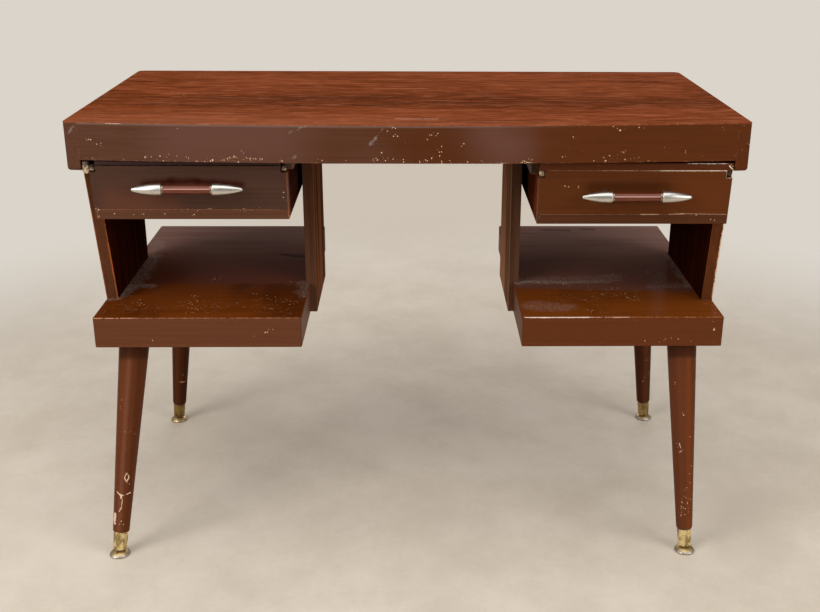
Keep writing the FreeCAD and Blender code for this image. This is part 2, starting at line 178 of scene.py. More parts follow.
def specks(place, perMetre, keep, size, shift=(0.0, 0.0, 0.0)):
    # small round chips; keep is the share of cells that hold one
    scaled = place.node("Mapping", {"Vector": place, "Location": shift, "Scale": evenly(perMetre)})
    distance, colour = scaled.node("TexVoronoi", {"Vector": scaled, "Scale": 1.0},
                                   out=("Distance", "Color"))
    chance = scaled.node("SeparateColor", {"Color": colour}, out="Red")
    radius = rises(chance, 1 - keep, 1.0) * size
    return rises(distance, radius, radius * 0.6)


def stirred(place, perMetre, reach):
    # the place pushed about by up to reach metres, which frays whatever is drawn on it
    push = vectorMaths("SUBTRACT", noise(place, perMetre, 3.0, 0.6, out="Color"), evenly(0.5))
    return vectorMaths("MULTIPLY_ADD", push, evenly(reach), place)


def nearLine(place, start, end):
    # distance in metres from the stroke between two places given in millimetres
    begin = Vector(start) / 1000
    along = Vector(end) / 1000 - begin
    offset = vectorMaths("SUBTRACT", place, begin)
    share = vectorMaths("DOT_PRODUCT", offset, along / along.length_squared)
    share = place.node("Clamp", {"Value": share})
    return vectorMaths("DISTANCE", place, vectorMaths("MULTIPLY_ADD", share, along, begin))


def chipped(place, runs, reach=0.0022):
    # chips strewn along strokes: from, to, radius in millimetres, share of the cells that hold one
    thick = strongest([rises(nearLine(place, start, end), radius / 1000, radius / 2500) * share
                       for start, end, radius, share in runs])
    frayed = stirred(place, 420, reach)
    small = specks(frayed, 330.0, thick * 1.35, 0.40)
    large = specks(frayed, 150.0, thick * 0.75, 0.28, shift=(3.0, 1.0, 2.0))
    return either(small, large)


def linesOn(place, coloured, lines):
    # ragged strokes: from, to, radius in millimetres, unbroken share, strength and colour
    patchy = noise(place, 120, 4.0, 0.6, shift=(0.0, 3.0, 9.0)) * 0.5
    patchy = patchy + noise(place, 430, 3.0, 0.6, shift=(1.0, 2.0, 4.0)) * 0.5
    body = 0.35                               # how much denser a stroke is in its middle
    for start, end, radius, share, strength, colour in lines:
        apart = nearLine(place, start, end)
        near = rises(apart, radius / 1000, 0.0)
        level = 0.66 - share * 0.42 + body
        drawn = rises(patchy + near * body, level, level + 0.07)
        drawn = drawn * rises(apart, radius / 1000, radius / 1300)
        coloured = mixed(drawn * strength, coloured, tone(*colour))
    return coloured


def softLinesOn(place, coloured, lines):
    # painted sheens, painted shade and soft patches that fade outward: from, to, radius in millimetres,
    # amount and colour
    pushed = stirred(place, 70, 0.005)
    for start, end, radius, amount, colour in lines:
        near = rises(nearLine(pushed, start, end), radius / 1000, 0.0)
        coloured = mixed(near * amount, coloured, tone(*colour))
    return coloured


def strokesOn(face, rows):
    # a row gives the two ends of a stroke in the face's own two directions, then its look
    return [(face(*row[0:2]), face(*row[2:4]), *row[4:]) for row in rows]


def makeMaterial(name, shader):
    # shader makes the surface from the place, in the piece's own coordinates
    material = bpy.data.materials.new(name)
    material.use_nodes = True
    tree = material.node_tree
    tree.nodes.clear()
    surface = shader(Wire(tree).node("TexCoord", out="Object"))
    tree.links.new(surface.socket, tree.nodes.new("ShaderNodeOutputMaterial").inputs["Surface"])
    return material


def makeFinish(name, recipe, **fixed):
    # fixed are the shader's own values, the same all over the surface
    return makeMaterial(name, lambda place: place.node("BsdfPrincipled", {**fixed, **recipe(place)}))


def dress(nodeNames, material):
    for name in nodeNames:
        slots = nodes[name].data.materials
        slots.clear()
        slots.append(material)


# Laminate top: red-brown wood grain that runs along the desk
laminate = {
    "shades": [(0.38, tone(70, 31, 10)), (0.44, tone(94, 44, 16)), (0.50, tone(114, 54, 25)),
               (0.56, tone(130, 66, 36)), (0.63, tone(152, 89, 58))],
    "pore": tone(88, 36, 14), "betweenPores": tone(160, 90, 60), "darkLine": tone(66, 28, 10),
    "paleLine": tone(178, 112, 84), "front": tone(156, 94, 66), "fleck": tone(196, 140, 110),
    "worn": tone(176, 126, 98), "nick": tone(206, 158, 124),
    "darkBand": -0.056, "darkBandWidth": 0.120, "darkening": 0.072,
    "gloss": 0.36, "sheen": 0.0002, "height": 750,
    "chips": [(-400, 188, -388, 194, 8, 0.5), (-468, 66, -440, 70, 9, 0.4),
              (-416, 28, -412, 26, 4, 0.9), (-390, -8, -386, -8, 4, 0.6)],
    "lines": [(-20, -217, 42, -217, 6.0, 0.85, 0.4, (194, 150, 130)),
              (-62, 66, 30, 64, 5.0, 0.8, 0.4, (186, 128, 98))],
}


def onTop(x, y):
    return x, y, laminate["height"]


def laminateRecipe(place):
    x, y, z = axesOf(place)
    sway = (noise(place, (1.3, 3.0, 1.0), 2.0) - 0.5) * 0.05
    swayed = place.node("CombineXYZ", {"X": x, "Y": y + sway, "Z": z})
    fibres = noise(swayed, (20.0, 360.0, 1.0), 5.0, 0.8)
    streaks = noise(swayed, (9.0, 105.0, 1.0), 5.0, 0.7)
    patches = noise(swayed, (3.6, 24.0, 1.0), 4.0, 0.6, shift=(5.0, 2.0, 0.0))
    offBand = y + sway - laminate["darkBand"]
    belt = rises(abs(offBand), laminate["darkBandWidth"], 0.0)
    level = fibres * 0.42 + streaks * 0.36 + patches * 0.22 - belt * laminate["darkening"]
    grain = place.node("ValToRGB", {"Fac": level}, {"stops": laminate["shades"]}, out="Color")
    darkLines = rises(noise(swayed, (8.0, 150.0, 1.0), 3.0, shift=(1.0, 8.0, 0.0)), 0.60, 0.70)
    paleLines = rises(noise(swayed, (9.0, 340.0, 1.0), 3.0, shift=(3.1, 7.7, 0.0)), 0.60, 0.70)
    flecks = rises(noise(swayed, (30.0, 800.0, 1.0), 2.0, shift=(6.4, 1.2, 0.0)), 0.68, 0.76)
    pores = noise(swayed, (22.0, 150.0, 1.0), 3.0, 0.7, shift=(2.2, 4.1, 0.0))
    # painted sheen: the top is lighter towards its front edge, more so on the left
    frontSheenShare = rises(y + x * 0.12, -0.16, -0.34)
    worn = edgesOf(place, 0.002) * rises(noise(place, 260, 3.0), 0.42, 0.60)
    nicks = chipped(place, strokesOn(onTop, laminate["chips"]), 0.0016)
    coloured = layered(grain, laminate, [
        (rises(pores, 0.53, 0.64) * 0.5, "pore"), (rises(pores, 0.47, 0.37) * 0.4, "betweenPores"),
        (darkLines * 0.45, "darkLine"), (paleLines * 0.50, "paleLine"), (frontSheenShare * 0.35, "front"),
        (flecks * 0.35, "fleck"), (worn * 0.3, "worn"), (nicks * 0.8, "nick")])
    coloured = linesOn(place, coloured, strokesOn(onTop, laminate["lines"]))
    dull = noise(place, (6.0, 9.0, 6.0), 4.0)
    return {"Base Color": coloured, "Roughness": laminate["gloss"] + (dull - 0.5) * 0.16,
            "Normal": bumped(fibres - nicks * 0.5, 0.25, 0.0003)}


dress(["top_sheet"], makeFinish("topLaminate", laminateRecipe, **{"Specular IOR Level": laminate["sheen"]}))


# Brown paint over wood, with brush lines, chips, rubbed edges, dust and scratches, and painted sheens and
# shade
paint = {
    "primer": tone(156, 94, 58), "cream": tone(224, 190, 156), "rubbed": tone(160, 104, 70),
    "dust": tone(150, 138, 128), "greySheen": tone(122, 98, 90), "glow": 0.04, "roundedEdge": 0.0010,
}
alongX = (4.0, 160.0, 240.0)
alongY = (160.0, 4.0, 240.0)
alongZ = (150.0, 150.0, 4.0)


def paintedSheenCloud(place, coloured, colour):
    # a painted sheen: a greyer cloud of reflected light over the left half
    greySheen = noise(place, (5.0, 5.0, 9.0), 3.0, shift=(2.0, 0.0, 4.0))
    return mixed(rises(greySheen, 0.42, 0.66) * rises(axesOf(place)[0], 0.24, 0.0) * 0.6, coloured, tone(*colour))


def streakedSides(place, coloured, colour):
    # broad streaks on the faces that look sideways
    broad = noise(place, (30, 30, 1.2), 3.0, 0.6, shift=(4.0, 0.0, 2.0))
    streaked = mixed(rises(broad, 0.44, 0.60), tone(*colour), tone(*colour, 0.6))
    return mixed(rises(abs(facing(place, "X")), 0.4, 0.8), coloured, streaked)


def shadedCollar(place, coloured, collar, colour):
    # painted shadow of the shelf round the top of a leg; collar is the leg's front and the height where it
    # starts
    front, high = collar
    y, z = axesOf(place)[1:]
    shaded = rises(z + (y - front) * 0.45, high - 0.007, high + 0.002)
    return mixed(shaded * 0.75, coloured, tone(*colour, 0.60))


def paleCrest(place, coloured, crest):
    # a painted sheen along the line under the laminate, on the left half
    x, z = axesOf(place)[::2]
    pale = rises(z, crest - 0.0040, crest - 0.0010) * rises(x, 0.30, 0.0) * 0.55
    return mixed(pale, coloured, paint["greySheen"])


def damage(place, loose, chips, lowEdge, ragged):
    # how bare the paint is, and how much of that shows cream instead of primer
    clusters = rises(noise(place, 11, 3.0), 0.48, 0.64)
    bare = specks(place, 190.0, 0.10, 0.24) * clusters * loose
    core = bare * 0.4
    if chips is not None:
        knocked = chipped(place, chips)
        bare = either(bare, knocked)
        core = either(core, rises(knocked, 0.5, 1.0))
    if lowEdge is not None:
        runs = noise(place, 38, 4.0, 0.7, shift=(7.0, 0.0, 1.0))
        near = rises(axesOf(place)[2], lowEdge + 0.0018, lowEdge + 0.0006) * rises(runs, 0.50, 0.60)
        bare = either(bare, near * rises(ragged, 0.46, 0.60) * 0.8)
        core = either(core, near * rises(runs, 0.60, 0.68) * 0.5)
    return bare, core


def paintedShadeInside(place, coloured, inner, brushed):
    # painted shade on the face towards the open bay; inner is its distance from the middle and its colour
    face, stainAndShade = inner
    hidden = rises(abs(axesOf(place)[0]), face + 0.0009, face + 0.0003)
    return mixed(hidden, coloured, mixed(rises(brushed, 0.4, 0.7), tone(*stainAndShade), tone(*stainAndShade, 1.6)))


def paintRecipe(left, right=None, shade=None, grain=alongX, depth=0.35, wear=0.5, edge=0.0022,
                loose=0.5, chips=None, gloss=0.36, sheenCloud=None, lowEdge=None, inner=None, lines=(),
                collar=None, crest=None, sheens=(), flank=None, lean=None):
    # left and right are the paint at the desk's two ends; where they differ, the greyer left end is a painted
    # cool reflection; shade its dark brush lines
    def recipe(place):
        x, y, z = axesOf(place)
        along = place
        if lean is not None:                  # the grain follows a splayed leg
            along = place.node("CombineXYZ", {"X": x - z * lean[0], "Y": y - z * lean[1], "Z": z})
        brushed = noise(along, grain, 4.0, 0.6)
        clouds = noise(place, (2.6, 2.6, 3.4), 3.0)
        coloured = mixed(rises(x + (clouds - 0.5) * 0.5, -0.45, 0.40), tone(*left), tone(*(right or left)))
        if sheenCloud is not None:
            coloured = paintedSheenCloud(place, coloured, sheenCloud)
        deep = tone(*shade) if shade else tone(*left, 0.72)
        coloured = mixed(rises(brushed, 0.38, 0.70) * depth, coloured, deep)
        if flank is not None:
            coloured = streakedSides(place, coloured, flank)
        coloured = softLinesOn(along, coloured, sheens)
        if collar is not None:
            coloured = shadedCollar(place, coloured, collar, left)
        if crest is not None:
            coloured = paleCrest(place, coloured, crest)
        ragged = noise(place, 310, 3.0, 0.6)
        rubbed = edgesOf(place, edge) * rises(ragged, 0.62 - 0.2 * wear, 0.72 - 0.2 * wear) * wear
        coloured = mixed(rubbed, coloured, paint["rubbed"])
        bare, core = damage(place, loose, chips, lowEdge, ragged)
        coloured = mixed(bare, coloured, mixed(core, paint["primer"], paint["cream"]))
        if inner is not None:
            coloured = paintedShadeInside(place, coloured, inner, brushed)
        coloured = linesOn(place, coloured, lines)
        rounded = eased(place, paint["roundedEdge"])
        return {"Base Color": coloured, "Roughness": gloss + (clouds - 0.5) * 0.14 + bare * 0.3,
                "Normal": bumped(brushed * 0.12 - bare, 0.35, 0.0004, Normal=rounded)}
    return recipe


def painted(name, glow=None, **finish):
    shine = paint["glow"] if glow is None else glow
    return makeFinish(name, paintRecipe(**finish), **{"Specular IOR Level": shine})


apronBow = {"front": -267, "depth": 25, "half": 526}


def onApron(x, z):
    # a place on the bowed front, in millimetres
    return x, apronBow["front"] + apronBow["depth"] * (x / apronBow["half"]) ** 2, z


# runs of chips on the apron: from x and z, to x and z, radius, share
apronRuns = [
    (-500, 695, -400, 696, 4, 0.25), (-405, 696, -290, 696, 5, 0.45), (-285, 696, -235, 696, 5, 0.9),
    (-230, 697, -60, 693, 3, 0.25), (-54, 697, -12, 696, 5, 0.9), (12, 695, 72, 694, 4, 0.6),
    (75, 694, 165, 692, 3, 0.3), (170, 694, 184, 695, 5, 1.0), (280, 697, 400, 695, 4, 0.2),
    (-366, 700, -358, 699, 4, 1.0), (-262, 704, -252, 722, 12, 0.28), (-352, 740, -350, 742, 3, 1.0),
    (-488, 725, -470, 714, 6, 0.3), (-50, 712, -44, 700, 7, 0.5), (-27, 742, -8, 722, 9, 0.45),
    (-30, 745, -22, 745, 4, 1.0), (-100, 747, -94, 747, 3, 0.9), (39, 738, 27, 730, 5, 0.5),
    (68, 720, 92, 720, 4, 0.4), (48, 714, 36, 700, 7, 0.6), (232, 703, 236, 703, 4, 1.0),
    (242, 738, 256, 726, 6, 0.4), (300, 746, 324, 742, 5, 0.5), (350, 744, 355, 744, 3, 0.8),
    (297, 700, 330, 708, 8, 0.3), (376, 728, 402, 708, 8, 0.2), (420, 709, 452, 700, 6, 0.2),
    (512, 744, 524, 716, 7, 0.3), (500, 697, 516, 710, 4, 0.6), (474, 746, 480, 742, 4, 0.6),
]
# painted sheens of greyer reflected light on the apron, and a darker orange patch
apronSheensAndPatches = [
    ((-330, -257, 735), (-210, -262, 730), 110, 0.75, (98, 66, 56)),
    ((115, -265, 730), (150, -264, 715), 70, 0.75, (98, 66, 56)),
    ((20, -267, 715), (60, -266, 705), 80, 0.7, (80, 40, 18)),
]
scuff = (138, 124, 118)
apronLines = [
    ((-58, -266, 722), (-51, -266, 731), 8.0, 0.66, 0.55, scuff),
    ((-51, -266, 731), (-41, -266, 744), 3.0, 0.58, 0.5, scuff),
    ((-180, -263, 738), (-168, -263, 742), 7.0, 0.58, 0.45, scuff),
    ((-166, -264, 745), (-156, -264, 748), 5.0, 0.56, 0.45, scuff),
    ((-518, -243, 732), (-508, -244, 744), 6.0, 0.58, 0.5, scuff),
    ((-504, -245, 747), (-490, -247, 748), 3.0, 0.58, 0.45, scuff),
    ((-184, -263, 697), (-174, -264, 701), 6.0, 0.56, 0.4, scuff),
    ((-466, -248, 748.3), (-437, -250, 748.3), 1.5, 0.85, 0.8, (214, 186, 160)),
    ((-500, -245, 748.4), (-478, -247, 748.4), 1.3, 0.8, 0.7, (190, 140, 110)),
    ((-420, -251, 748.4), (-330, -257, 748.4), 1.2, 0.55, 0.6, (176, 128, 100)),
]
# the apron's greyer left end and its sheen cloud are painted cool reflection
apron = {"left": (84, 53, 36), "right": (86, 43, 18), "shade": (64, 36, 21), "sheenCloud": (91, 60, 48),
         "chips": strokesOn(onApron, apronRuns), "loose": 0.25, "wear": 0.5, "sheens": apronSheensAndPatches,
         "lines": apronLines}
apronLow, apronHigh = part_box("front_apron")
dress(["front_apron"], painted("apronPaint", lowEdge=apronLow.z, crest=apronHigh.z, **apron))
dress(["left_end_rail", "right_end_rail"], painted("railPaint", grain=alongY, **apron))
dress(["back_apron"], painted("backPaint", left=(84, 48, 32), right=(80, 40, 20), wear=0.3, loose=0.2))


# Pedestals: side panels, dividers and thick shelves
cream = (222, 190, 156)
rubbed = (168, 98, 52)
pedestals = {
    "left": {"panel": (92, 54, 34), "divider": (92, 60, 43), "flank": (124, 78, 52), "frame": (98, 58, 38),
             "lines": [((-489, -168, 438), (-489, -192, 540), 3.6, 0.85, 0.9, (168, 92, 44)),
                       ((-489, -192, 540), (-489, -223, 672), 2.4, 0.62, 0.6, rubbed),
                       ((-508, -168, 440), (-508, -223, 672), 3.0, 0.62, 0.8, (176, 104, 58))]},
    "right": {"panel": (92, 50, 26), "divider": (90, 60, 44), "flank": (156, 110, 84), "frame": (94, 50, 26),
              "lines": [((508, -181, 440), (508, -223, 672), 3.4, 0.8, 0.6, rubbed),
                        ((508, -181, 440), (508, -223, 664), 4.6, 0.68, 0.95, cream),
                        ((489, -184, 450), (489, -205, 560), 2.0, 0.6, 0.5, rubbed)]},
}
# the near-black colour of the panels' inner faces is painted shade
panelShade = (36, 11, 4)
shelf = {"height": 437, "front": -260, "arris": (-259, 436.8), "sheen": 0.001,
         "fluff": tone(184, 154, 130)}


def onShelf(x, y):
    return x, y, shelf["height"]


def onShelfFront(x, z):
    return x, shelf["front"], z


# chips: on the shelf's top from x and y to x and y, on its front edge from x and z to x and z
topChips = {
    "left": [
        (-364, -161, -352, -240, 12, 0.30), (-345, -73, -333, -42, 12, 0.35),
        (-267, -154, -193, -189, 16, 0.25), (-460, -174, -445, -198, 12, 0.3),
        (-181, -88, -178, -94, 5, 1.0)],
    "right": [
        (273, -109, 268, -70, 9, 0.6), (370, -47, 401, -35, 10, 0.4), (378, -176, 365, -146, 12, 0.35),
        (187, -88, 191, -92, 5, 0.9), (274, -215, 300, -228, 8, 0.4)],
}
frontChips = {
    "left": [(-414, 397, -410, 397, 4, 0.8), (-253, 404, -216, 423, 5, 0.3)],
    "right": [(334, 396, 460, 397, 5, 0.25), (496, 411, 492, 429, 5, 0.6), (488, 434, 400, 436, 3, 0.3)],
}
# Shelf tops: glossy lacquer; in front of a slanting line a painted lit warm brown, behind it the drawers'
# painted shadow, greyer towards the back as a painted reflection, with dust.
# The arris strokes give from x and to x, the dust from, to, radius in millimetres and amount.
shelfTops = {
    "left": {"bright": (104, 50, 14), "dull": (78, 35, 9), "middle": (96, 47, 28), "rear": (124, 95, 86),
             "edge": (-0.094, 0.0),
             "arris": [(-505, -176, 1.9, 0.72, 0.5, (188, 128, 96)),
                       (-505, -440, 2.0, 0.8, 0.5, (206, 150, 118))],
             "dust": [(-500, -158, -480, -104, 32, 1.0), (-480, -100, -450, -104, 22, 0.8),
                      (-480, -90, -488, 60, 42, 0.55), (-488, 60, -490, 150, 28, 0.3),
                      (-184, -92, -177, -150, 32, 0.45)],
             "marks": [(-240, 72, -200, 56, 13, 0.95, 0.6, (24, 14, 12))]},
    "right": {"bright": (110, 55, 16), "dull": (84, 40, 12), "middle": (98, 58, 43), "rear": (140, 108, 98),
              "edge": (-0.106, 0.074),
              "arris": [(184, 505, 1.8, 0.70, 0.5, (178, 120, 84)),
                        (184, 354, 1.9, 0.82, 0.6, (204, 168, 142)),
                        (184, 288, 1.9, 0.95, 0.8, (224, 200, 182))],
              "dust": [(190, -90, 232, -84, 20, 1.0), (232, -88, 340, -88, 20, 0.65),
                       (196, -84, 360, -66, 44, 0.30), (206, -208, 250, -214, 46, 0.26),
                       (486, -112, 489, 60, 20, 0.6), (420, -112, 482, -104, 24, 0.3)],
              "marks": [(372, 236, 350, 238, 9, 0.9, 0.6, (30, 14, 12)),
                        (270, 234, 320, 228, 12, 0.85, 0.5, (60, 26, 22))]},
}


def dustOn(place, strokes):
    patchy = noise(place, (60, 45, 60), 6.0, 0.8)
    grit = rises(noise(place, (520, 260, 520), 3.0, 0.75), 0.44, 0.60)
    pushed = stirred(place, 30, 0.024)
    heaps = []
    for start, end, radius, amount in strokes:
        around = rises(nearLine(pushed, start, end), radius / 1000, 0.0)
        heaps.append(rises(around * 0.8 + patchy * 1.2, 0.80, 1.35) * (grit * 0.8 + 0.2) * amount)
    return strongest(heaps)


def fluffOn(place):
    # grains and curled hairs that gather in clusters
    clusters = rises(noise(place, 12, 3.0), 0.44, 0.62)
    grains = specks(stirred(place, 420, 0.0022), 210.0, 0.22, 0.20, shift=(1.0, 5.0, 0.0))
    hair = abs(noise(place, 34, 2.0, 0.5, shift=(4.0, 4.0, 0.0)) - 0.5)
    hair = rises(hair, 0.0045, 0.0015) * rises(clusters, 0.6, 0.9)
    return either(grains * (clusters * 0.8 + 0.2) * 0.85, hair * 0.45)


def shelfTopRecipe(finish, frameColour, chips):
    dust, marks = strokesOn(onShelf, finish["dust"]), strokesOn(onShelf, finish["marks"])
    arris = [((start, *shelf["arris"]), (end, *shelf["arris"]), *look)
             for start, end, *look in finish["arris"]]

    def recipe(place):
        x, y = axesOf(place)[:2]
        clouds = noise(place, (7.0, 2.0, 1.0), 3.0)
        brushed = noise(place, (5.0, 90.0, 1.0), 4.0, 0.6)
        # painted light: the lit front zone, which the slanting painted shadow edge ends
        blended = mixed(rises(clouds, 0.42, 0.58), tone(*finish["dull"]), tone(*finish["bright"]))
        blended = mixed(rises(brushed, 0.42, 0.66) * 0.4, blended, tone(*finish["dull"]))
        behind = mixed(rises(y, -0.04, 0.20), tone(*finish["middle"]), tone(*finish["rear"]))
        behind = mixed(rises(brushed, 0.40, 0.70) * 0.35, behind, tone(*finish["middle"]))
        # edge places the slanting painted shadow edge of the drawers
        line, slant = finish["edge"]
        coloured = mixed(rises(y + x * slant - line, -0.003, 0.003), blended, behind)
        coloured = linesOn(place, coloured, marks)
        coloured = mixed(fluffOn(place) * rises(y, 0.06, -0.10), coloured, shelf["fluff"])
        bare = chipped(place, chips)
        coloured = mixed(bare, coloured, mixed(rises(bare, 0.5, 1.0), paint["primer"], paint["cream"]))
        settled = dustOn(place, dust)
        coloured = mixed(settled, coloured, paint["dust"])
        upright = rises(facing(place, "Z"), 0.80, 0.55)
        coloured = linesOn(place, mixed(upright, coloured, tone(*frameColour)), arris)
        return {"Base Color": coloured, "Roughness": 0.15 + settled * 0.6 + clouds * 0.06 + upright * 0.2,
                "Normal": bumped(brushed * 0.2 - bare + settled, 0.2, 0.0003)}
    return recipe


for side, finish in pedestals.items():
    panelLow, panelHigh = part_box(side + "_outer_panel")
    inside = min(abs(panelLow.x), abs(panelHigh.x))
    chips = strokesOn(onShelf, topChips[side]) + strokesOn(onShelfFront, frontChips[side])
    dress([side + "_outer_panel"],
          painted(side + "PanelPaint", left=finish["panel"], grain=alongZ, wear=1.1, loose=0.3, edge=0.003,
                  depth=0.5, inner=(inside, panelShade), glow=0.0, lines=finish["lines"]))
    dress([side + "_inner_panel"],
          painted(side + "DividerPaint", left=finish["divider"], grain=alongZ, wear=0.5, loose=0.15,
                  depth=0.75, glow=0.0, flank=finish["flank"]))
    dress([side + "_shelf_frame", side + "_shelf_bottom_skin"],
          painted(side + "ShelfPaint", left=finish["frame"], wear=0.35, loose=0.12, depth=0.25,
                  chips=chips, glow=0.015))
    lacquer = shelfTopRecipe(shelfTops[side], finish["frame"], chips)
    dress([side + "_shelf_top_skin"],
          makeFinish(side + "ShelfTop", lacquer, **{"Specular IOR Level": shelf["sheen"]}))
print("top and pedestals painted")


# Drawers, with bare wood inside
bareWood = {"dark": tone(150, 108, 66), "pale": tone(196, 156, 108), "stainAndShade": tone(104, 70, 42)}


def bareRecipe(grain, face=None, coat=None, sheens=()):
    # face is the x of the side that carries the brown coat
    def recipe(place):
        fibres = noise(place, grain, 5.0, 0.65)
        stainsAndShade = noise(place, 5, 3.0)
        coloured = mixed(rises(fibres, 0.3, 0.7), bareWood["dark"], bareWood["pale"])
        coloured = mixed(rises(stainsAndShade, 0.5, 0.75) * 0.4, coloured, bareWood["stainAndShade"])
        rough = 0.62 + (stainsAndShade - 0.5) * 0.2
        if face is not None:
            coated = rises(abs(axesOf(place)[0] - face), 0.0014, 0.0008)
            brown = mixed(rises(fibres, 0.35, 0.7), tone(*coat), tone(*coat, 0.7))
            coloured = mixed(coated, coloured, softLinesOn(place, brown, sheens))
            rough = rough - coated * 0.2
        return {"Base Color": coloured, "Roughness": rough, "Normal": bumped(fibres, 0.3, 0.0004)}
    return recipe


drawerChips = {
    "left": [
        ((-490, -233, 610), (-490, -232, 600), 5, 0.6), ((-470, -232, 600), (-340, -232, 602), 4, 0.2),
        ((-375, -233, 610), (-225, -233, 609), 4, 0.3), ((-197, -235, 627), (-195, -236, 640), 6, 0.8),
        ((-193, -233, 609), (-192, -232, 600), 5, 0.5)],
    "right": [
        ((416, -232, 603), (482, -231, 592), 5, 0.3), ((242, -237, 647), (270, -237, 646), 4, 0.3),
        ((430, -241, 686), (498, -238, 686), 4, 0.7), ((503, -240, 684), (504, -238, 672), 5, 0.8),
        ((204, -232, 597), (211, -231, 591), 5, 0.5), ((294, -241, 681), (296, -240, 678), 3, 0.8)],
}
# the left drawer's darker, greyer top strip is painted shade under the apron
drawers = {
    "left": {"face": (75, 51, 41), "low": (92, 58, 42), "strip": (64, 46, 44), "side": (62, 32, 20),
             "runner": (98, 78, 66)},
    "right": {"face": (88, 46, 20), "low": (81, 46, 27), "strip": (86, 44, 22), "side": (70, 32, 14),
              "runner": (66, 44, 34)},
}
# strokes on each drawer front: from x, to x, their heights as shares of the board's, then as elsewhere
frontStrokes = {
    "left": [
        (-486, -205, 0.0, 0.0, 1.3, 0.74, 0.5, (152, 98, 72)),
        (-483, -204, 1.0, 1.0, 1.6, 1.0, 0.9, (18, 9, 7)),
        (-490, -490, 0.02, -0.22, 1.2, 0.8, 0.6, (168, 106, 70)),
        (-191, -191, 0.98, -0.2, 2.2, 0.66, 0.6, (160, 92, 52))],
    "right": [
        (205, 502, 0.0, 0.0, 1.2, 0.72, 0.4, (150, 112, 88)),
        (366, 394, 0.0, 0.0, 1.4, 0.85, 0.8, (196, 158, 130)),
        (411, 436, 0.0, 0.02, 1.4, 0.85, 0.8, (196, 158, 130)),
        (436, 502, 0.02, 0.0, 1.3, 0.76, 0.6, (176, 138, 112)),
        (214, 300, 1.0, 1.0, 1.2, 0.70, 0.4, (170, 136, 112)),
        (300, 392, 1.0, 1.0, 1.3, 0.76, 0.6, (184, 152, 130)),
        (392, 494, 1.0, 1.0, 1.5, 0.92, 0.95, (206, 184, 166)),
        # the near-white strokes above the board's top, on the top strip's edge, are chipped bare wood painted
        # brighter as a highlight
        (432, 494, 1.165, 1.165, 2.2, 0.66, 1.0, (238, 230, 220)),
        (495, 504, 0.84, 0.84, 1.6, 0.85, 0.9, (190, 164, 142)),
        (495, 495, 0.84, 0.99, 1.4, 0.85, 0.8, (170, 140, 118)),
        (497, 504, 1.12, 1.02, 2.4, 0.72, 0.95, (232, 214, 192)),
        (201, 201, 0.98, -0.2, 1.8, 0.6, 0.5, (150, 84, 44))],
}
# painted shade and the rods' painted reflections round the handles, soft lighter patches, and painted sheens
# on the inner sides: from, to, radius, amount, colour
stainsAndShade = {
    "left": [
        ((-412, -238, 652), (-370, -238, 656), 10, 0.9, (50, 16, 7)),
        ((-370, -238, 656), (-330, -238, 656), 10, 0.9, (50, 16, 7)),
        ((-330, -238, 656), (-262, -238, 651), 9, 0.9, (50, 16, 7)),
        ((-460, -236, 620), (-380, -234, 612), 45, 0.7, (96, 58, 42))],
    "right": [
        ((286, -237, 646), (400, -237, 646), 17, 0.6, (56, 25, 9)),
        ((300, -239, 626), (405, -239, 626), 11, 0.6, (50, 26, 14)),
        ((440, -238, 645), (480, -236, 630), 60, 0.6, (98, 50, 20))],
}
flankSheens = {
    "left": [((-190.5, -228, 672), (-190.5, -218, 600), 20, 0.8, (124, 60, 34))],
    "right": [((201, -214, 664), (201, -196, 596), 30, 0.8, (116, 50, 22))],
}
frontRake = math.tan(math.radians(6.0))
matt = {"Specular IOR Level": 0.0}
fibresAlongX = (3.0, 130.0, 130.0)
fibresAlongY = (130.0, 3.0, 130.0)


def onFront(side, x, share):
    # a place on the raked drawer front, in millimetres; share is its height on the board
    low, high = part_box(side + "_drawer_front")
    height = high.z - low.z
    return x, (low.y + (1 - share) * height * frontRake) * 1000, (low.z + share * height) * 1000


bareAlongX = makeFinish("bareWoodAcross", bareRecipe(fibresAlongX), **matt)
bareAlongY = makeFinish("bareWoodBack", bareRecipe(fibresAlongY), **matt)
dress(["top_board", "glue_blocks", "left_drawer_back", "right_drawer_back"], bareAlongX)
for side, finish in drawers.items():
    drawn = [(onFront(side, startX, startShare), onFront(side, endX, endShare), *look)
             for startX, endX, startShare, endShare, *look in frontStrokes[side]]
    marks = {"wear": 0.3, "chips": drawerChips[side], "lines": drawn}
    # the fronts carry the painted shade and reflections round the handles and the soft patches
    dress([side + "_drawer_front"],
          painted(side + "DrawerPaint", left=finish["face"], loose=0.12, sheens=stainsAndShade[side], **marks))
    dress([side + "_drawer_bottom_strip"],
          painted(side + "LowStripPaint", left=finish["low"], loose=0.15, edge=0.0014, **marks))
    dress([side + "_drawer_top_strip"],
          painted(side + "TopStripPaint", left=finish["strip"], loose=0.1, edge=0.0014, **marks))
    outward = 0 if side == "left" else 1
    for name, corner in (("_drawer_outer_side", outward), ("_drawer_inner_side", 1 - outward),
                         ("_drawer_bottom", 1 - outward)):
        coated = bareRecipe(fibresAlongY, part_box(side + name)[corner].x, finish["side"], flankSheens[side])
        dress([side + name], makeFinish(side + name.title().replace("_", ""), coated, **matt))
    dress([side + "_shelf_leg_blocks"], bareAlongY)
    dress([side + "_outer_runner", side + "_inner_runner"],
          painted(side + "RunnerPaint", left=finish["runner"], grain=alongY, wear=1.0, loose=0.4, edge=0.003))
print("drawers painted")


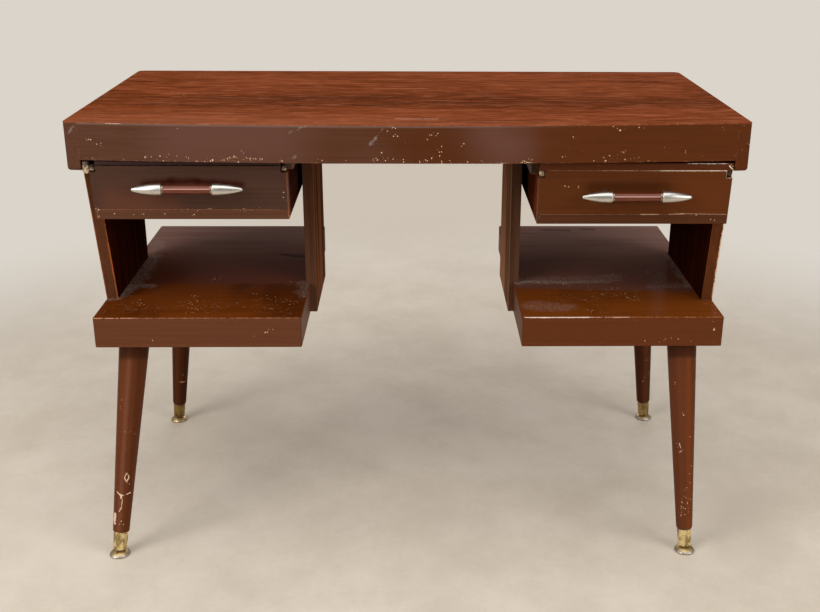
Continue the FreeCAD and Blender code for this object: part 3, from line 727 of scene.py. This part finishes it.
# Turned legs
# collar is how far below a leg's top the painted shadow of the shelf starts
legPlan = {"topRadius": 0.025, "collar": 0.012, "sheenFrom": (-14, 40), "sheenTo": (-24, 390)}
legChips = {
    "front_left": [
        ((-480, -260, 155), (-479, -259, 137), 5, 0.5), ((-500, -261, 132), (-497, -262, 120), 4, 0.4),
        ((-494, -266, 90), (-495, -268, 50), 6, 0.3), ((-475, -252, 232), (-464, -250, 226), 6, 0.4),
        ((-480, -247, 286), (-480, -247, 274), 5, 0.4)],
    "front_right": [
        ((442, -241, 312), (446, -243, 300), 5, 0.6), ((455, -251, 262), (458, -251, 256), 4, 0.8),
        ((454, -253, 204), (458, -255, 190), 5, 0.7), ((475, -250, 231), (476, -252, 218), 6, 0.5),
        ((476, -259, 168), (475, -262, 126), 6, 0.35), ((471, -264, 124), (466, -264, 105), 7, 0.5),
        ((478, -264, 106), (473, -267, 80), 10, 0.6), ((466, -264, 98), (464, -264, 72), 5, 0.5)],
    "back_left": [
        ((-471, 228, 178), (-470, 228, 174), 5, 0.8), ((-484, 232, 122), (-484, 232, 118), 4, 0.6)],
    "back_right": [
        ((493, 227, 149), (499, 227, 151), 5, 0.8), ((498, 233, 106), (495, 235, 99), 5, 0.8),
        ((508, 235, 119), (508, 236, 116), 4, 0.6)],
}
# cracks and scratches that are drawn as strokes, as on the apron
legLines = {
    "front_left": [
        ((-498, -262, 123), (-491, -264, 117), 1.8, 0.95, 1.0, cream),
        ((-491, -264, 118), (-491, -265, 112), 2.4, 1.0, 1.0, cream),
        ((-489, -264, 117), (-476, -258, 119), 2.0, 0.95, 1.0, cream),
        ((-489, -265, 111), (-492, -266, 94), 1.5, 0.72, 1.0, cream),
        ((-492, -266, 94), (-496, -266, 88), 1.5, 0.9, 0.9, cream),
        ((-479, -260, 157), (-483, -261, 149), 1.5, 0.85, 1.0, cream),
        ((-483, -261, 149), (-480, -261, 141), 1.6, 0.9, 1.0, cream),
        ((-478, -259, 157), (-476, -258, 149), 1.5, 0.85, 0.9, cream),
        ((-476, -258, 149), (-480, -261, 141), 1.8, 0.95, 1.0, cream),
        ((-505, -263, 80), (-506, -264, 64), 5.6, 0.95, 1.0, cream)],
    "front_right": [
        ((440, -238, 318), (447, -243, 334), 1.5, 0.6, 0.5, cream),
        ((455, -254, 205), (458, -255, 198), 1.6, 0.85, 0.9, cream),
        ((463, -253, 261), (463, -254, 256), 1.6, 1.0, 1.0, cream)],
    "back_left": [
        ((-498, 236, 105), (-489, 234, 101), 1.8, 0.9, 0.9, rubbed),
        ((-489, 234, 101), (-480, 239, 100), 2.4, 0.95, 0.9, (190, 130, 96))],
    "back_right": [],
}
# painted sheens and painted shade run down a leg as stripes: how far aside of its axis, radius, amount and
# colour; the back legs' darker colour is painted shade
legPaint = {
    "front_left": {"colour": (94, 50, 27),
                   "sheens": [(-2, 8, 0.55, (122, 76, 58)), (-13, 9, 0.45, (112, 58, 26)),
                              (17, 10, 0.6, (66, 34, 20))]},
    "front_right": {"colour": (96, 52, 30),
                    "sheens": [(6, 9, 0.7, (116, 58, 24)), (-9, 9, 0.35, (104, 58, 40)),
                               (-22, 9, 0.6, (62, 32, 18))]},
    "back_left": {"colour": (68, 34, 17),
                  "sheens": [(-4, 8, 0.6, (84, 44, 24)), (14, 9, 0.6, (44, 22, 10))]},
    "back_right": {"colour": (72, 37, 20),
                   "sheens": [(4, 9, 0.6, (92, 50, 29)), (-14, 9, 0.6, (46, 23, 11))]},
}
legLean = {}
for leg, finish in legPaint.items():
    low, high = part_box(leg + "_leg")
    foot = sum(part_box(leg + "_glide"), Vector()) / 2
    reach = [min(abs(near), abs(far)) + legPlan["topRadius"] for near, far in zip(low.xy, high.xy)]
    lean = [(math.copysign(top, bottom) - bottom) / (high.z - foot.z) for top, bottom in zip(reach, foot)]
    axis = [(foot[index] - foot.z * lean[index]) * 1000 for index in (0, 1)]
    legLean[leg] = lean
    sheens = []
    for aside, wide, amount, colour in finish["sheens"]:
        start, end = ((axis[0] + aside, axis[1] + forward, height)
                      for forward, height in (legPlan["sheenFrom"], legPlan["sheenTo"]))
        sheens.append((start, end, wide, amount, colour))
    dress([leg + "_leg"],
          painted(leg + "LegPaint", left=finish["colour"], grain=alongZ, wear=0.0, loose=0.12, gloss=0.28,
                  glow=0.03, depth=0.35, chips=legChips[leg], sheens=sheens, lean=lean, lines=legLines[leg],
                  collar=(low.y, high.z - legPlan["collar"])))
print("legs painted")


# Metals
metals = {"tarnish": tone(132, 108, 62), "rust": tone(52, 36, 20), "nickel": tone(190, 180, 162),
          "dullNickel": tone(122, 102, 78), "gilt": tone(212, 184, 128), "aluminium": tone(208, 204, 197),
          "grime": tone(150, 140, 126), "collar": tone(150, 122, 86), "zinc": tone(160, 160, 162),
          "dullZinc": tone(120, 118, 114)}
rodColours = {"dark": tone(82, 32, 13), "light": tone(108, 50, 28), "shine": tone(206, 160, 146),
              "nick": tone(214, 180, 152)}


def brassRecipe(place, brass):
    cloudy = noise(place, (64, 64, 34), 5.0, 0.7)
    cracks = noise(stirred(place, 120, 0.006), (90, 90, 60), 3.0, 0.6, shift=(3.0, 1.0, 2.0)) - 0.5
    cracked = rises(abs(cracks), 0.014, 0.004) * rises(cloudy, 0.44, 0.54)
    spots = rises(noise(place, (210, 210, 160), 3.0), 0.60, 0.67)
    coloured = layered(brass, metals, [(rises(cloudy, 0.46, 0.58) * 0.8, "tarnish"),
                                       (either(spots, cracked) * 0.85, "rust")])
    return {"Base Color": coloured, "Roughness": 0.26 + cloudy * 0.2}


# each ferrule's brass, and how far the leg's paint runs down over it, in metres
ferrules = {
    "front_left": {"brass": (246, 224, 166), "over": 0.0002},
    "front_right": {"brass": (246, 224, 166), "over": 0.0028},
    "back_left": {"brass": (156, 130, 74), "over": 0.0030},
    "back_right": {"brass": (176, 152, 100), "over": 0.0026},
}
ferruleRadius = 0.0125


def ferruleFinish(leg, finish):
    low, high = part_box(leg + "_ferrule")
    lean = legLean[leg]
    middle = (low + high) / 2
    rim = high.z - ferruleRadius * math.hypot(*lean)

    def recipe(place):
        x, y, z = axesOf(place)
        worn = brassRecipe(place, tone(*finish["brass"]))
        height = z + (x - middle.x) * lean[0] + (y - middle.y) * lean[1]
        ragged = noise(place, 200, 3.0, 0.6, shift=(2.0, 2.0, 6.0)) - 0.5
        over = rises(height + ragged * 0.0016 - (rim - finish["over"]), -0.0002, 0.0003)
        coloured = mixed(over, worn["Base Color"], tone(*legPaint[leg]["colour"], 0.75))
        return {"Base Color": coloured, "Roughness": worn["Roughness"] + over * 0.1, "Metallic": 1 - over}
    return makeFinish(leg + "Brass", recipe)


def nickelRecipe(place):
    # gilt on the upper faces, grey and pitted round the rim
    x, y = axesOf(place)[:2]
    cloudy = noise(place, 120, 4.0, 0.65)
    pits = rises(noise(place, 360, 2.0), 0.62, 0.70)
    upward = facing(place, "Z")
    gilded = either(rises(upward, 0.62, 0.88), rises(y, 0.0, 0.1) * rises(x, 0.1, -0.1) * 0.8)
    coloured = layered(metals["nickel"], metals, [
        (gilded, "gilt"), (rises(upward, 0.05, -0.45) * 0.6, "rust"),
        (rises(cloudy, 0.50, 0.64) * 0.7, "dullNickel"), (pits * 0.8, "rust")])
    return {"Base Color": coloured, "Roughness": 0.34 + cloudy * 0.3}


def aluminiumRecipe(place):
    brushed = noise(place, (30, 600, 600), 3.0, 0.6)
    grime = rises(noise(place, 140, 3.0), 0.55, 0.75)
    collars = []
    for side in drawers:                      # the tarnished collars beside each rod
        low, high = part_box(side + "_handle_rod")
        away = abs(axesOf(place)[0] - (low.x + high.x) / 2)
        collars.append(rises(abs(away - (high.x - low.x) / 2), 0.0030, 0.0022))
    coloured = layered(metals["aluminium"], metals, [(grime * 0.45, "grime"),
                                                     (strongest(collars) * 0.85, "collar")])
    return {"Base Color": coloured, "Roughness": 0.26 + brushed * 0.18,
            "Normal": bumped(brushed, 0.2, 0.0002)}


def zincRecipe(place):
    cloudy = noise(place, 200, 3.0)
    return {"Base Color": mixed(cloudy, metals["zinc"], metals["dullZinc"]), "Roughness": 0.3 + cloudy * 0.2}


def rodRecipe(place):
    brushed = noise(place, (20, 300, 300), 4.0)
    nicks = specks(place, 120.0, 0.20, 0.24)
    upward = facing(place, "Z")
    # a painted highlight along the rod's upper side
    paintedHighlight = rises(upward, 0.12, 0.28) * rises(upward, 0.50, 0.34)
    coloured = layered(rodColours["dark"], rodColours, [
        (rises(brushed, 0.35, 0.7), "light"), (paintedHighlight * 0.75, "shine"), (nicks, "nick")])
    return {"Base Color": coloured, "Roughness": 0.18 + nicks * 0.4}


for leg, finish in ferrules.items():
    dress([leg + "_ferrule"], ferruleFinish(leg, finish))
dress([leg + "_glide" for leg in ferrules], makeFinish("nickel", nickelRecipe, Metallic=1.0))
dress([side + "_handle_" + end + "_end" for side in drawers for end in ("inner", "outer")],
      makeFinish("aluminium", aluminiumRecipe, Metallic=1.0))
dress([side + "_handle_rod" for side in drawers], makeFinish("rodLacquer", rodRecipe))
zinc = makeFinish("zinc", zincRecipe, Metallic=1.0)
dress(["leg_bolts", "glide_stems", "runner_screws", "left_handle_screws", "right_handle_screws"], zinc)
print("metals done")


# Slotted screw heads and panel pins, one Geometry Nodes tree for both
fixings = {
    "screws": {"radius": 0.0042, "height": 0.0014, "slot": 0.0010, "seed": 3},
    "pins": {"radius": 0.0012, "height": 0.0006, "slot": 0.0, "seed": 5},
}
head = {"sides": 20, "crown": 0.72, "blade": 2.6, "lift": 0.95}


def headTree(name, material):
    tree = bpy.data.node_groups.new(name, "GeometryNodeTree")
    tree.interface.new_socket("Geometry", in_out="INPUT", socket_type="NodeSocketGeometry")
    tree.interface.new_socket("Geometry", in_out="OUTPUT", socket_type="NodeSocketGeometry")
    for label in ("Radius", "Height", "Slot"):
        tree.interface.new_socket(label, in_out="INPUT", socket_type="NodeSocketFloat")
    tree.interface.new_socket("Seed", in_out="INPUT", socket_type="NodeSocketInt")
    start = tree.nodes.new("NodeGroupInput")
    points, radius, height, slot, seed = (Wire(tree, start.outputs[label]) for label in
                                          ("Geometry", "Radius", "Height", "Slot", "Seed"))
    plain = points.node("GeometryNodeMeshCone",
                        {"Vertices": head["sides"], "Side Segments": 2, "Radius Top": radius * head["crown"],
                         "Radius Bottom": radius, "Depth": height}, out="Mesh")
    blade = points.node("CombineXYZ", {"X": radius * head["blade"], "Y": slot, "Z": height})
    cutter = points.node("GeometryNodeMeshCube", {"Size": blade}, out="Mesh")
    lift = points.node("CombineXYZ", {"X": 0.0, "Y": 0.0, "Z": height * head["lift"]})
    cutter = points.node("GeometryNodeTransform", {"Geometry": cutter, "Translation": lift})
    cut = tree.nodes.new("GeometryNodeMeshBoolean")
    cut.operation = "DIFFERENCE"
    tree.links.new(plain.socket, cut.inputs[0])
    tree.links.new(cutter.socket, cut.inputs[1])
    outward = points.node("GeometryNodeInputNamedAttribute", {"Name": "outward"},
                          {"data_type": "FLOAT_VECTOR"}, out="Attribute")
    turned = points.node("FunctionNodeAlignRotationToVector", {"Vector": outward}, {"axis": "Z"})
    spin = points.node("FunctionNodeRandomValue", {2: 0.0, 3: math.pi, "Seed": seed},
                       {"data_type": "FLOAT"}, out=1)
    spun = points.node("CombineXYZ", {"X": 0.0, "Y": 0.0, "Z": spin})
    spun = points.node("FunctionNodeEulerToRotation", {0: spun})
    turned = points.node("FunctionNodeRotateRotation", {"Rotation": turned, "Rotate By": spun},
                         {"rotation_space": "LOCAL"})
    heads = points.node("GeometryNodeInstanceOnPoints",
                        {"Points": points, "Instance": Wire(tree, cut.outputs["Mesh"]), "Rotation": turned})
    solid = points.node("GeometryNodeRealizeInstances", {"Geometry": heads})
    finished = points.node("GeometryNodeSetMaterial", {"Geometry": solid, "Material": material})
    end = tree.nodes.new("NodeGroupOutput")
    tree.links.new(finished.socket, end.inputs[0])
    return tree


def setHeads(name, kind, tree, places, body):
    # places is a list of (point, outward), in metres
    mesh = bpy.data.meshes.new(name + "Points")
    mesh.from_pydata([point for point, outward in places], [], [])
    layer = mesh.attributes.new("outward", "FLOAT_VECTOR", "POINT")
    for index, (point, outward) in enumerate(places):
        layer.data[index].vector = outward
    carrier = addObject(name + "Points", mesh)
    modifier = carrier.modifiers.new("heads", "NODES")
    modifier.node_group = tree
    sockets = {item.name: item.identifier for item in tree.interface.items_tree if item.in_out == "INPUT"}
    for label in ("Radius", "Height", "Slot", "Seed"):
        modifier[sockets[label]] = fixings[kind][label.lower()]
    graph = bpy.context.evaluated_depsgraph_get()
    solid = bpy.data.meshes.new_from_object(carrier.evaluated_get(graph))
    bpy.data.objects.remove(carrier)
    heads = addObject(name, solid)
    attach(heads, body)
    print(name, len(solid.polygons), "faces")


def spread(low, high, count):
    return [low + (high - low) * (index + 0.5) / count for index in range(count)]


# how many fixings stand in a row, and how far the rows keep from the edges, in metres
rows = {"backScrews": 6, "backEnd": 0.02, "backEdge": 0.035, "shelfDeep": 9, "shelfWide": 5,
        "shelfEnd": 0.02, "shelfEdge": 0.012, "drawerPins": 3, "drawerEdge": 0.006}
steelHeads = headTree("fixingHeads", zinc)
low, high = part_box("back_apron")
backPlaces = [((x, high.y, z), (0, 1, 0))
              for x in spread(low.x + rows["backEnd"], high.x - rows["backEnd"], rows["backScrews"])
              for z in (low.z + rows["backEdge"], high.z - rows["backEdge"])]
setHeads("backScrews", "screws", steelHeads, backPlaces, "desk")
shelfPins = []
for side in pedestals:
    low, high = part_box(side + "_shelf_bottom_skin")
    edge, end = rows["shelfEdge"], rows["shelfEnd"]
    for y in spread(low.y, high.y, rows["shelfDeep"]):
        shelfPins += [((x, y, low.z), (0, 0, -1)) for x in (low.x + edge, high.x - edge)]
    for x in spread(low.x + end, high.x - end, rows["shelfWide"]):
        shelfPins += [((x, y, low.z), (0, 0, -1)) for y in (low.y + edge, high.y - edge)]
setHeads("shelfPins", "pins", steelHeads, shelfPins, "desk")
for side in drawers:
    low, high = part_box(side + "_drawer_back")
    pins = [((x, high.y, z), (0, 1, 0)) for z in spread(low.z, high.z, rows["drawerPins"])
            for x in (low.x + rows["drawerEdge"], high.x - rows["drawerEdge"])]
    setHeads(side + "DrawerPins", "pins", steelHeads, pins, side + "_drawer")
print("fixings done")


# Split ends of the wooden runners, in the corner notches of the drawer fronts
# pale sets how far up the bare wood shows; below nought it hardly does
runnerEnds = {
    "leftOuter": {"low": (-505.3, -242, 667), "high": (-494.8, -225, 690), "seed": 3, "pale": 0.36},
    "leftNotch": {"low": (-497, -238, 671.5), "high": (-486, -214, 683), "seed": 5, "pale": 0.3},
    "leftInner": {"low": (-199.6, -236, 671.4), "high": (-191.2, -225, 681.6), "seed": 8, "pale": 0.3},
    "rightInner": {"low": (201.6, -236, 662.8), "high": (210.2, -225, 673.6), "seed": 12, "pale": 0.62},
    "rightOuter": {"low": (496, -234, 663), "high": (504, -216, 673.4), "seed": 21, "pale": -0.4},
}
lump = {"cuts": 7, "roundness": 0.55, "swell": 1.15, "grain": 2.1, "fill": 0.93, "bite": 0.22,
        "wood": (tone(104, 72, 44), tone(222, 198, 164)), "stained": (tone(44, 30, 24), tone(104, 82, 64))}


def splinterRecipe(low, high, pale):
    def recipe(place):
        height = (axesOf(place)[2] - low) / (high - low)
        fibres = noise(place, (420, 60, 420), 4.0, 0.7)
        crumbs = noise(place, 260, 4.0, 0.7)
        bare = rises(height * 0.7 + (crumbs - 0.5) * 1.4, pale + 0.12, pale - 0.12)
        wood = mixed(rises(fibres, 0.36, 0.62), *lump["wood"])
        stained = mixed(rises(fibres, 0.40, 0.60), *lump["stained"])
        return {"Base Color": mixed(bare, stained, wood), "Roughness": 0.7,
                "Normal": bumped(fibres, 0.6, 0.0008)}
    return recipe


def makeRunnerEnd(name, end):
    low, high = Vector(end["low"]) / 1000, Vector(end["high"]) / 1000
    middle, half = (low + high) / 2, (high - low) / 2
    work = bmesh.new()
    bmesh.ops.create_cube(work, size=2.0)
    bmesh.ops.subdivide_edges(work, edges=work.edges[:], cuts=lump["cuts"], use_grid_fill=True)
    for vertex in work.verts:
        ball = vertex.co.normalized() * lump["swell"]
        clipped = Vector(max(-1.0, min(1.0, part)) for part in ball)
        shape = vertex.co.lerp(clipped, lump["roundness"])
        ragged = noiseLibrary.noise(shape * lump["grain"] + Vector((end["seed"], 0, 0)))
        shape *= lump["fill"] - lump["bite"] * abs(ragged)
        vertex.co = middle + Vector(part * reach for part, reach in zip(shape, half))
    mesh = bpy.data.meshes.new(name)
    work.to_mesh(mesh)
    work.free()
    mesh.materials.append(makeFinish(name, splinterRecipe(low.z, high.z, end["pale"])))
    piece = addObject(name, mesh)
    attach(piece, "desk")


for name, end in runnerEnds.items():
    makeRunnerEnd(name + "RunnerEnd", end)
print("runner ends made")


# Camera at the photo's viewing angle
view = {"place": (0.0043, -1.9205, 1.0783), "down": 20.41, "turn": 1.38, "roll": 0.38,
        "lens": 48.6, "shiftX": -0.0341, "shiftY": -0.0021}


def makeCamera():
    down, turn, roll = (math.radians(view[name]) for name in ("down", "turn", "roll"))
    ahead = Vector((math.sin(turn) * math.cos(down), math.cos(turn) * math.cos(down), -math.sin(down)))
    right = Vector((math.cos(turn), -math.sin(turn), 0.0))
    up = right.cross(ahead)
    rolledRight = right * math.cos(roll) + up * math.sin(roll)
    rolledUp = up * math.cos(roll) - right * math.sin(roll)
    data = bpy.data.cameras.new("camera")
    data.lens = view["lens"]
    data.shift_x, data.shift_y = view["shiftX"], view["shiftY"]
    camera = addObject("camera", data)
    turned = Matrix((rolledRight, rolledUp, -ahead)).transposed().to_4x4()
    camera.matrix_world = Matrix.Translation(view["place"]) @ turned
    bpy.context.scene.camera = camera


makeCamera()


# Floor and lights
studio = {"floorSize": 24.0, "floor": tone(215, 203, 187), "stainAndShade": tone(199, 186, 169),
          "backdrop": tone(219, 212, 202), "fadeFrom": 0.95, "fadeTo": 2.0,
          "behind": tone(205, 194, 179), "darkest": (0.0, 2.3, 0.0), "darkFrom": 0.5, "darkTo": 1.3,
          "skyLight": 0.37, "skyTint": (1.0, 0.98, 0.95, 1.0), "mirrored": 0.22}


def seenDirectly(start):
    camera, through = start.node("LightPath", out=("Is Camera Ray", "Is Transmission Ray"))
    return camera.maths("MINIMUM", camera + through, 1.0)


def floorShader(place):
    # polished concrete near the desk that fades to the pale backdrop all round; behind the desk the backdrop
    # darkens as a painted shadow of the desk
    clouds = noise(place, (2.2, 2.2, 1.0), 6.0, 0.62)
    veins = noise(place, (9.0, 9.0, 1.0), 5.0, 0.7, shift=(3.0, 1.0, 0.0))
    fine = noise(place, (90, 90, 1.0), 3.0)
    share = rises(clouds * 0.6 + veins * 0.3 + fine * 0.1, 0.38, 0.64)
    lit = place.node("BsdfPrincipled", {"Base Color": mixed(share, studio["floor"], studio["stainAndShade"]),
                                        "Roughness": 0.5 + clouds * 0.2, "Specular IOR Level": 0.2})
    # painted shadow of the desk on the backdrop, darkest round a point behind it
    away = vectorMaths("DISTANCE", place, studio["darkest"])
    plain = mixed(rises(away, studio["darkTo"], studio["darkFrom"]), studio["backdrop"], studio["behind"])
    plain = place.node("Emission", {"Color": plain, "Strength": 1.0})
    away = vectorMaths("LENGTH", place) + (clouds - 0.5) * 0.2
    blended = rises(away, studio["fadeFrom"], studio["fadeTo"]) * seenDirectly(place)
    return place.node("MixShader", {0: blended, 1: lit, 2: plain})


def makeFloor():
    half = studio["floorSize"] / 2
    mesh = bpy.data.meshes.new("floor")
    mesh.from_pydata([(-half, -half, 0), (half, -half, 0), (half, half, 0), (-half, half, 0)], [],
                     [(0, 1, 2, 3)])
    mesh.materials.append(makeMaterial("floor", floorShader))
    floor = addObject("floor", mesh)


softboxes = {
    "overhead": {"place": (-0.2, -0.9, 3.0), "aim": (0.0, 0.0, 0.3), "size": (3.2, 2.6), "watts": 48},
    "leftFront": {"place": (-2.6, -2.4, 2.0), "aim": (0.0, 0.0, 0.4), "size": (1.8, 2.0), "watts": 66},
    "rightFront": {"place": (2.7, -2.2, 1.7), "aim": (0.0, 0.0, 0.4), "size": (1.6, 1.8), "watts": 46},
    "behind": {"place": (0.2, 2.9, 1.9), "aim": (0.0, 0.2, 0.0), "size": (2.6, 1.0), "watts": 20},
}


def makeLights():
    for name, box in softboxes.items():
        data = bpy.data.lights.new(name, "AREA")
        data.shape = "RECTANGLE"
        data.size, data.size_y = box["size"]
        data.energy = box["watts"]
        lamp = addObject(name, data)
        lamp.location = box["place"]
        lamp.rotation_euler = (Vector(box["aim"]) - lamp.location).to_track_quat("-Z", "Y").to_euler()
    world = bpy.data.worlds.new("studio")
    bpy.context.scene.world = world
    world.use_nodes = True
    tree = world.node_tree
    tree.nodes.clear()
    start = Wire(tree)
    pale = start.node("Background", {"Color": studio["backdrop"], "Strength": 1.0})
    glossy = start.node("LightPath", out="Is Glossy Ray")
    strength = glossy * (studio["mirrored"] - studio["skyLight"]) + studio["skyLight"]
    soft = start.node("Background", {"Color": studio["skyTint"], "Strength": strength})
    both = start.node("MixShader", {0: seenDirectly(start), 1: soft, 2: pale})
    tree.links.new(both.socket, tree.nodes.new("ShaderNodeOutputWorld").inputs["Surface"])


makeFloor()
makeLights()
bpy.context.scene.view_settings.view_transform = "Standard"

print("scene made")
